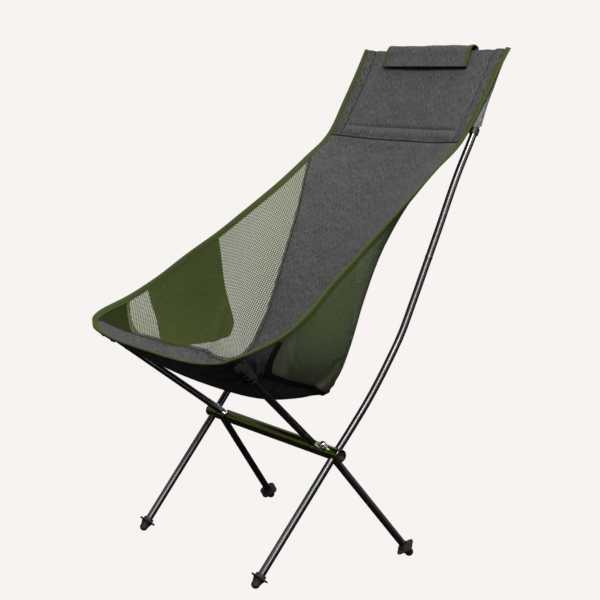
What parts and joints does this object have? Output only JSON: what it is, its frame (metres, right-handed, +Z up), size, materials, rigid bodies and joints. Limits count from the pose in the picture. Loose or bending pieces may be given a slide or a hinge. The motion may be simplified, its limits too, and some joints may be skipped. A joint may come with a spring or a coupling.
{
  "type": "camping chair",
  "caption": "High-back take-apart camping chair: crossed poles on a short cross tube, hung bucket seat of cloth and mesh with headrest and folded top band.",
  "frame": {"origin": "on the ground, under the middle of the chair's box", "axes": "+Z up, -Y to the front of the chair, +X to the sitter's left (right of someone facing the seat)"},
  "size_m": [0.5584, 0.721, 1.0059],
  "materials": {
    "olive_anodised": "glossy dark olive anodised",
    "black_pole": "glossy black anodised",
    "bare_aluminium": "bright turned",
    "rubber": "matte",
    "black_plastic": "satin moulded",
    "grey_cloth": "heathered woven polyester",
    "olive_mesh": "open knitted mesh",
    "olive_cloth": "plain woven polyester",
    "green_binding": "ribbed woven tape",
    "black_webbing": "woven webbing",
    "elastic_cord": "braided"
  },
  "bodies": {
    "frame": {"cross_tube": "olive_anodised", "hub_core_right": "black_plastic", "hub_core_left": "black_plastic", "end_plug_right": "black_plastic", "end_plug_left": "black_plastic", "rear_leg_collar_right": "bare_aluminium", "rear_leg_collar_left": "bare_aluminium", "seat_pole_ferrule_right": "bare_aluminium", "seat_pole_ferrule_left": "bare_aluminium", "seat_pole_right": "black_pole", "seat_pole_left": "black_pole", "seat_pole_tip_right": "black_plastic", "seat_pole_tip_left": "black_plastic", "seat_pole_cord_right": "elastic_cord", "seat_pole_cord_left": "elastic_cord", "back_pole_lower_right": "black_pole", "back_pole_lower_left": "black_pole", "back_pole_upper_right": "black_pole", "back_pole_upper_left": "black_pole", "back_pole_joiner_right": "bare_aluminium", "back_pole_joiner_left": "bare_aluminium", "back_pole_cord_right": "elastic_cord", "back_pole_cord_left": "elastic_cord", "back_pole_tip_right": "black_plastic", "back_pole_tip_left": "black_plastic", "seat_panel": "grey_cloth", "back_panel": "grey_cloth", "headrest_panel": "grey_cloth", "side_mesh_right": "olive_mesh", "side_mesh_left": "olive_mesh", "side_patch_right": "olive_cloth", "side_patch_left": "olive_cloth", "corner_patch_right": "grey_cloth", "corner_patch_left": "grey_cloth", "corner_lining_right": "olive_cloth", "corner_lining_left": "olive_cloth", "headrest_hem_right": "grey_cloth", "headrest_hem_left": "grey_cloth", "edge_tape": "green_binding", "seam_webbing_right": "black_webbing", "seam_webbing_left": "black_webbing", "corner_webbing_right": "black_webbing", "corner_webbing_left": "black_webbing", "pole_pocket_right": "grey_cloth", "pole_pocket_left": "grey_cloth", "pole_sleeve_right": "grey_cloth", "pole_sleeve_left": "grey_cloth", "sleeve_mouth_right": "black_webbing", "sleeve_mouth_left": "black_webbing"},
    "front_leg_right": {"front_leg_right": "black_pole", "front_leg_foot_right": "rubber"},
    "front_leg_left": {"front_leg_left": "black_pole", "front_leg_foot_left": "rubber"},
    "rear_leg_right": {"rear_leg_right": "black_pole", "rear_leg_foot_right": "rubber"},
    "rear_leg_left": {"rear_leg_left": "black_pole", "rear_leg_foot_left": "rubber"},
    "flap": {"head_flap": "grey_cloth", "flap_binding_right": "green_binding", "flap_binding_left": "green_binding"}
  },
  "joints": [
    {"name": "front_leg_right_pull", "type": "slide", "parent": "frame", "child": "front_leg_right", "axis": [-0.0129, -0.6376, -0.7702], "range_m": [0, 0.034], "stiffness_N_per_m": 300, "springref_m": -0.05},
    {"name": "front_leg_left_pull", "type": "slide", "parent": "frame", "child": "front_leg_left", "axis": [0.0129, -0.6376, -0.7702], "range_m": [0, 0.034], "stiffness_N_per_m": 300, "springref_m": -0.05},
    {"name": "rear_leg_right_pull", "type": "slide", "parent": "frame", "child": "rear_leg_right", "axis": [0.1734, 0.5889, -0.7894], "range_m": [0, 0.034], "stiffness_N_per_m": 300, "springref_m": -0.05},
    {"name": "rear_leg_left_pull", "type": "slide", "parent": "frame", "child": "rear_leg_left", "axis": [-0.1734, 0.5889, -0.7894], "range_m": [0, 0.034], "stiffness_N_per_m": 300, "springref_m": -0.05},
    {"name": "flap_lift", "type": "hinge", "parent": "frame", "child": "flap", "pos_m": [0, 0.346, 0.983], "axis": [-1, 0, 0], "range_deg": [0, 115]}
  ]
}
